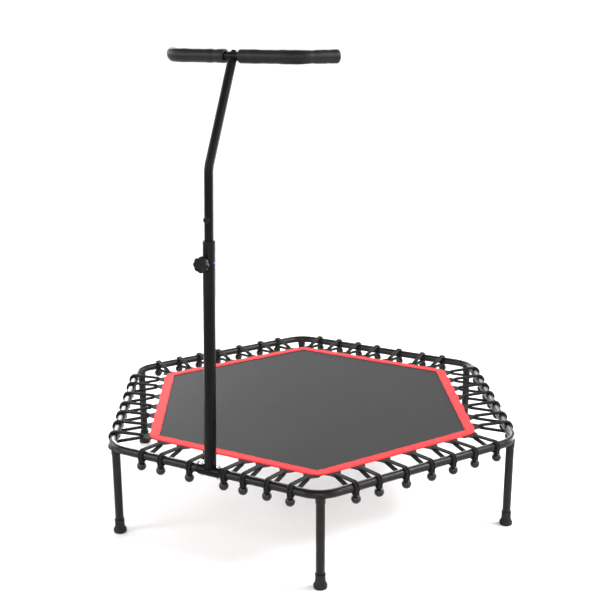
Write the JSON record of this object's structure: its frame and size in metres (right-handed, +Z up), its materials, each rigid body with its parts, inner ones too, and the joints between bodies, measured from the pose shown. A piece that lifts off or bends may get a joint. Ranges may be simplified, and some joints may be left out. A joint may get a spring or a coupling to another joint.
{
  "type": "mini trampoline",
  "caption": "Hexagonal fitness trampoline: bungee-hung mat in a tube frame on legs, with a height-adjustable T-handle clamped to one side.",
  "frame": {"origin": "on the floor, under the middle of the mat", "axes": "+Z up, -Y towards the side that carries the handle, +X to the right when facing the handle from outside"},
  "size_m": [1.2396, 1.1043, 1.2592],
  "materials": {
    "powder_coat": "satin black-brown powder coat on steel tube",
    "foot_rubber": "matt black moulded rubber",
    "zinc": "bright zinc plate",
    "mesh_cloth": "charcoal woven jumping mesh, matt",
    "red_cloth": "coral-red woven band, sewn",
    "bungee": "black braided elastic cord, webbing and balls",
    "black_plastic": "black moulded plastic, slight gloss",
    "foam": "closed-cell black foam, matt"
  },
  "bodies": {
    "frame": {"frame_half_handle_side": "powder_coat", "frame_half_far_side": "powder_coat", "clamp_shell": "powder_coat", "leg_handle_left": "powder_coat", "leg_handle_right": "powder_coat", "leg_right": "powder_coat", "leg_far_right": "powder_coat", "leg_far_left": "powder_coat", "leg_left": "powder_coat", "foot_handle_left": "foot_rubber", "foot_handle_right": "foot_rubber", "foot_right": "foot_rubber", "foot_far_right": "foot_rubber", "foot_far_left": "foot_rubber", "foot_left": "foot_rubber", "joint_screw_left": "zinc", "joint_screw_right": "zinc", "clamp_bolt_left": "zinc", "clamp_bolt_right": "zinc", "clamp_washer_left": "zinc", "clamp_washer_right": "zinc", "clamp_nut_left": "zinc", "clamp_nut_right": "zinc", "bungee_row_handle": "bungee", "bungee_row_front_right": "bungee", "bungee_row_right": "bungee", "bungee_row_far": "bungee", "bungee_row_far_left": "bungee", "bungee_row_left": "bungee", "lower_post": "powder_coat", "post_bushing": "black_plastic"},
    "mat": {"mat": "mesh_cloth", "mat_border": "red_cloth"},
    "handle": {"upper_post": "powder_coat", "post_stop": "black_plastic", "stem_insert": "zinc", "handlebar": "powder_coat", "bar_bolt": "black_plastic", "grip_left": "foam", "grip_right": "foam", "end_plug_left": "black_plastic", "end_plug_right": "black_plastic"},
    "knob_carrier": {"knob_washer": "zinc"},
    "knob": {"height_knob": "black_plastic"}
  },
  "joints": [
    {"name": "mat_bounce", "type": "slide", "parent": "frame", "child": "mat", "axis": [0, 0, 1], "range_m": [-0.12, 0.02], "stiffness_N_per_m": 12000, "deforming": ["bungee_row_handle", "bungee_row_front_right", "bungee_row_right", "bungee_row_far", "bungee_row_far_left", "bungee_row_left"]},
    {"name": "handle_height", "type": "slide", "parent": "frame", "child": "handle", "axis": [0, 0.0384, 0.9993], "range_m": [-0.0405, 0.123]},
    {"name": "knob_travel", "type": "slide", "parent": "frame", "child": "knob_carrier", "axis": [0, 0.9993, -0.0384], "range_m": [0, 0.00501]},
    {"name": "knob_turn", "type": "hinge", "parent": "knob_carrier", "child": "knob", "pos_m": [0, -0.54633, 0.77492], "axis": [0, 0.9993, -0.0384], "range_deg": [0, 1440]}
  ],
  "couplings": [
    {"joint": "knob_travel", "follows": "knob_turn", "m_per_rad": 0.00019894}
  ]
}
